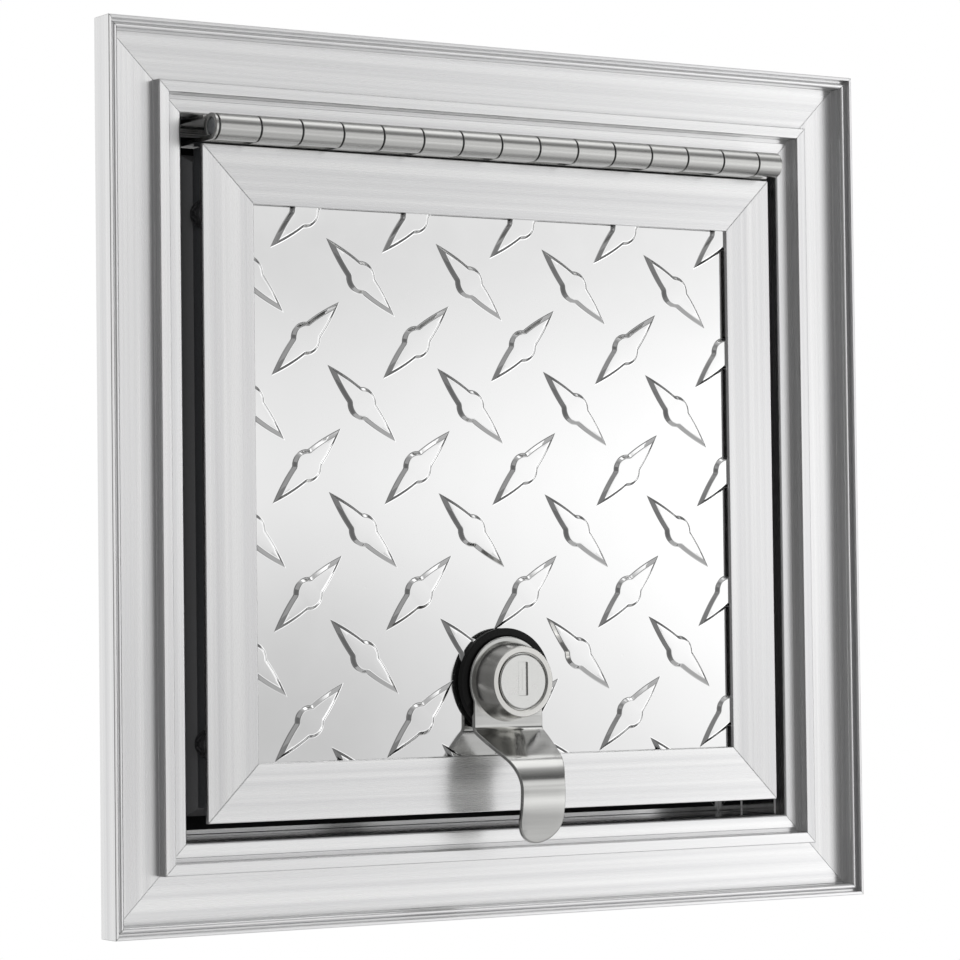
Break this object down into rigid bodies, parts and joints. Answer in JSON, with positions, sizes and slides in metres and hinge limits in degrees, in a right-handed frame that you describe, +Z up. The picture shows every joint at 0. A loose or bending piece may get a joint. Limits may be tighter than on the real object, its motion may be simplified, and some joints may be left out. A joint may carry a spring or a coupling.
{
  "type": "compartment door",
  "caption": "Square top-hung compartment door: mitred aluminium trim frame with jamb, tread plate leaf on a continuous hinge, keyed lock with finger pull.",
  "frame": {"origin": "on the flat back of the bottom trim flange, halfway along it, on the wall plane", "axes": "front of the door looks along -Y, +X runs to its right, +Z is up; the wall is behind the plane Y = 0"},
  "size_m": [0.254, 0.0652, 0.25],
  "materials": {
    "frame_aluminium": "mill finished extruded aluminium, brushed along its length",
    "hinge_steel": "satin rolled steel",
    "door_aluminium": "mill finished flat aluminium, brushed along its length",
    "tread_aluminium": "bright rolled aluminium tread plate, nearly a mirror",
    "core_black": "matt black core and edge",
    "skin_aluminium": "plain mill aluminium sheet",
    "seal_rubber": "matt black closed cell rubber",
    "screw_black": "glossy black screw heads",
    "gasket_rubber": "smooth black rubber",
    "pull_steel": "satin stainless steel, brushed across",
    "lock_metal": "satin nickel plated die casting",
    "nut_steel": "zinc plated steel",
    "plug_metal": "satin nickel plated plug",
    "cam_steel": "zinc plated steel"
  },
  "bodies": {
    "frame": {"frame_top": "frame_aluminium", "frame_bottom": "frame_aluminium", "frame_left": "frame_aluminium", "frame_right": "frame_aluminium", "hinge_frame_leaf": "hinge_steel", "hinge_pin": "hinge_steel"},
    "door": {"rim_top": "door_aluminium", "rim_bottom": "door_aluminium", "rim_left": "door_aluminium", "rim_right": "door_aluminium", "tread_plate": "tread_aluminium", "door_core": "core_black", "back_panel": "skin_aluminium", "seal_top": "seal_rubber", "seal_bottom": "seal_rubber", "seal_left": "seal_rubber", "seal_right": "seal_rubber", "hinge_door_leaf": "hinge_steel", "screw_left_upper": "screw_black", "screw_left_lower": "screw_black", "screw_right_upper": "screw_black", "screw_right_lower": "screw_black", "lock_gasket": "gasket_rubber", "finger_pull": "pull_steel", "lock_body": "lock_metal", "lock_nut": "nut_steel"},
    "plug": {"lock_plug": "plug_metal", "lock_cam": "cam_steel", "cam_screw": "cam_steel"}
  },
  "joints": [
    {"name": "door_hinge", "type": "hinge", "parent": "frame", "child": "door", "pos_m": [0, -0.011, 0.2092], "axis": [-1, 0, 0], "range_deg": [0, 165]},
    {"name": "plug_turn", "type": "hinge", "parent": "door", "child": "plug", "pos_m": [0, -0.014, 0.0554], "axis": [0, 1, 0], "range_deg": [0, 90]}
  ]
}
